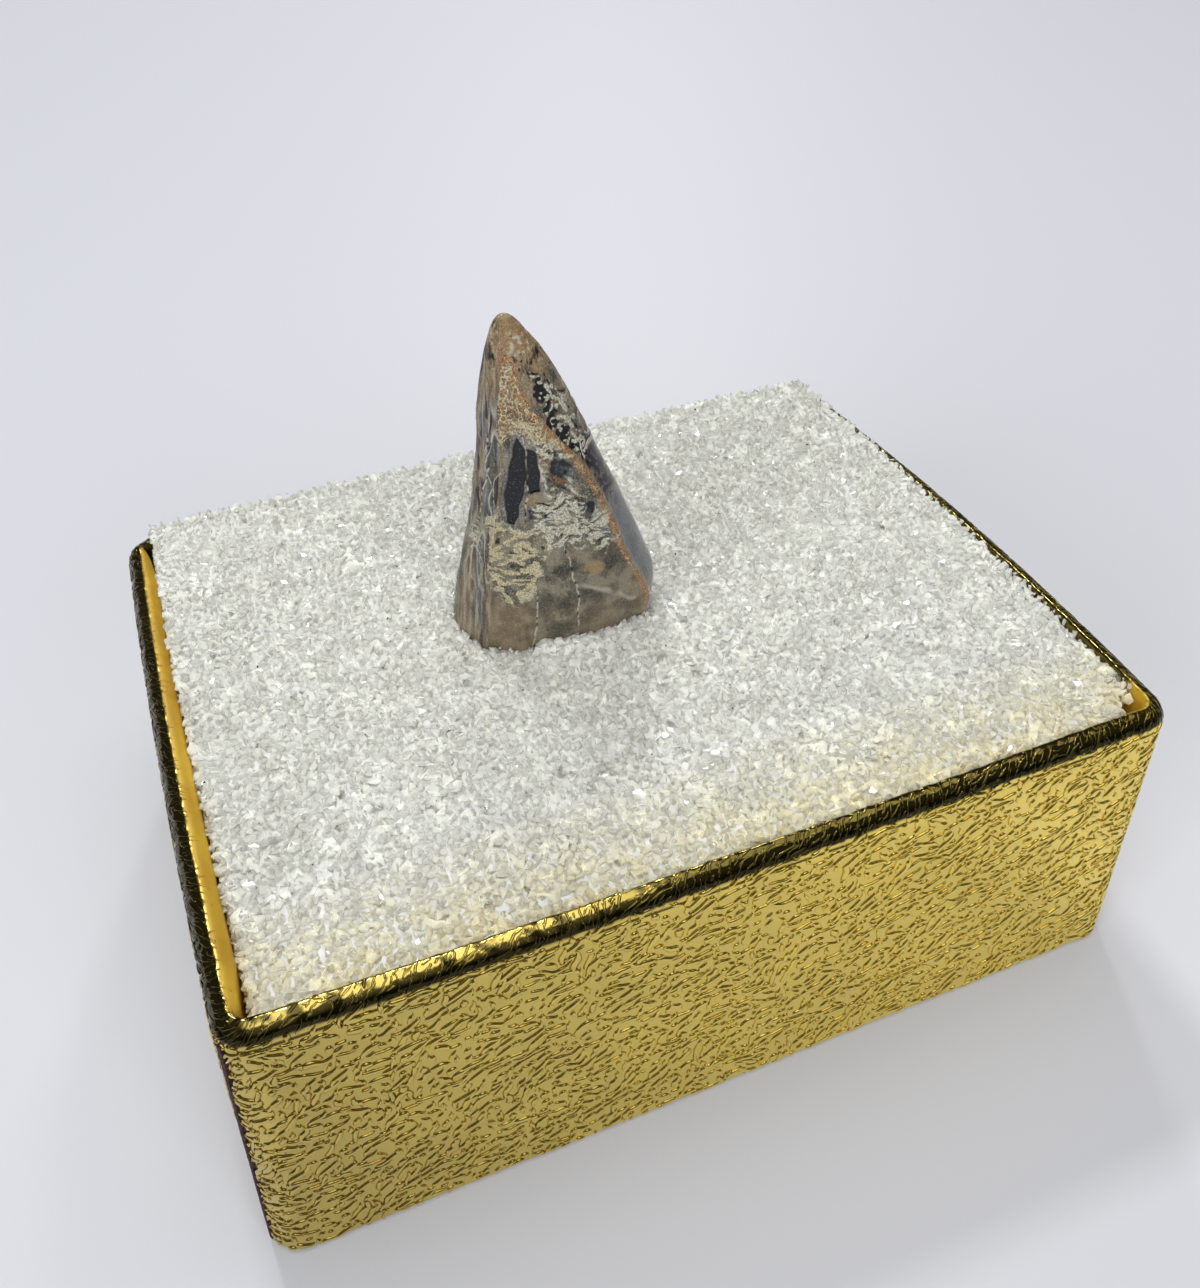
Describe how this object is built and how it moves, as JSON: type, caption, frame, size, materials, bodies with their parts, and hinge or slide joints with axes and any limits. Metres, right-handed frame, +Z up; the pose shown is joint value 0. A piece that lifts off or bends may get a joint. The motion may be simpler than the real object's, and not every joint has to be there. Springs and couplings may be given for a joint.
{
  "type": "fossil dinosaur tooth in a display tray",
  "caption": "Curved fossil dinosaur tooth with worn keels, standing on a bed of clear crystal grains in a shallow rectangular card tray wrapped in embossed gold foil paper.",
  "frame": {"origin": "under the middle of the whole object, on the surface that the tray stands on", "axes": "+X along the tray's long side, to the right seen from the front; +Y from the front to the back; +Z up along the tooth"},
  "size_m": [0.056, 0.0438, 0.0397],
  "materials": {
    "fossil_enamel": "mottled brown, black and cream fossil enamel, half polished, with a cream mineral network",
    "crystal_grains": "clear to milky white crystal grains with glossy broken faces",
    "grey_card": "raw grey-brown card",
    "gold_foil": "shiny gold metallised paper, embossed with short wavy lines"
  },
  "bodies": {
    "root": {"tooth": "fossil_enamel", "crystal_bed": "crystal_grains", "card_tray": "grey_card", "foil_wrap": "gold_foil"}
  },
  "joints": []
}
